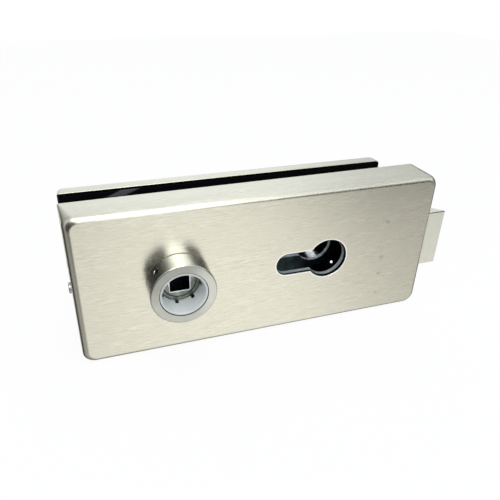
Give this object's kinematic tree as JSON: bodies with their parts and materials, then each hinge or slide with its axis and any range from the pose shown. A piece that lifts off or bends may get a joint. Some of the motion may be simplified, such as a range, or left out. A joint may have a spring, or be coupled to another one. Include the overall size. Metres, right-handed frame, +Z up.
{
  "type": "glass door lock",
  "caption": "Long stainless patch lock for a frameless glass door, with a round lever neck, a keyhole cut-out for a profile cylinder and a bevelled spring latch.",
  "frame": {"origin": "spindle axis in the middle plane of the glass", "axes": "+X to the latch, -Y to the side with the lock case, +Z up"},
  "size_m": [0.1799, 0.0539, 0.071],
  "materials": {
    "cover_steel": "brushed along the length",
    "collar_steel": "turned and brushed",
    "die_cast": "die cast, dull",
    "plate_steel": "zinc plated",
    "gasket": "smooth soft sheet",
    "bush_plastic": "moulded",
    "screw_steel": "plated",
    "spring_steel": "drawn wire",
    "bearing_metal": "sintered",
    "mechanism_steel": "zinc plated",
    "bright_steel": "bright plated",
    "latch_nickel": "nickel plated",
    "guide_plastic": "moulded"
  },
  "bodies": {
    "case": {"front_cover": "cover_steel", "rear_cover": "cover_steel", "lock_case": "die_cast", "case_back_plate": "plate_steel", "rear_plate": "plate_steel", "front_gasket": "gasket", "rear_gasket": "gasket", "lever_collar_front": "collar_steel", "lever_collar_rear": "collar_steel", "lever_bush_front": "bush_plastic", "lever_bush_rear": "bush_plastic", "collar_screw_front": "screw_steel", "collar_screw_rear": "screw_steel", "collar_retaining_ring": "spring_steel", "hub_bearing_front": "bearing_metal", "hub_bearing_back": "bearing_metal", "hub_stop_pin": "mechanism_steel", "return_stop_pin": "mechanism_steel", "hub_return_spring": "spring_steel", "latch_guides": "guide_plastic", "slide_studs": "bright_steel", "latch_spring": "spring_steel", "spring_guide_rod": "bright_steel", "changer_pivot_pin": "bright_steel", "cylinder_fixing_screw": "screw_steel", "case_screws": "screw_steel", "front_cover_screws": "screw_steel", "rear_cover_screws": "screw_steel", "clamp_sleeves": "bright_steel", "clamp_screws": "screw_steel"},
    "follower": {"follower_hub": "mechanism_steel", "square_sleeve": "bright_steel"},
    "latch": {"latch_bolt": "latch_nickel", "latch_cross_pins": "mechanism_steel", "latch_slide": "mechanism_steel", "slide_link_pin": "bright_steel"},
    "changer": {"changer_lever": "mechanism_steel"}
  },
  "joints": [
    {"name": "latch_travel", "type": "slide", "parent": "case", "child": "latch", "axis": [-1, 0, 0], "range_m": [0, 0.01], "stiffness_N_per_m": 400, "springref_m": -0.02, "deforming": ["latch_spring"]},
    {"name": "follower_turn", "type": "hinge", "parent": "case", "child": "follower", "pos_m": [0, -0.013, 0], "axis": [0, -1, 0], "range_deg": [0, 37.05], "stiffness_Nm_per_rad": 0.15, "springref_deg": -57.3, "deforming": ["hub_return_spring"]},
    {"name": "changer_swing", "type": "hinge", "parent": "case", "child": "changer", "pos_m": [0.06, -0.00865, 0.02747], "axis": [0, 1, 0], "range_deg": [0, 12.16]}
  ],
  "couplings": [
    {"joint": "follower_turn", "follows": "latch_travel", "rad_per_m": 64.577},
    {"joint": "changer_swing", "follows": "latch_travel", "rad_per_m": 21.197}
  ]
}
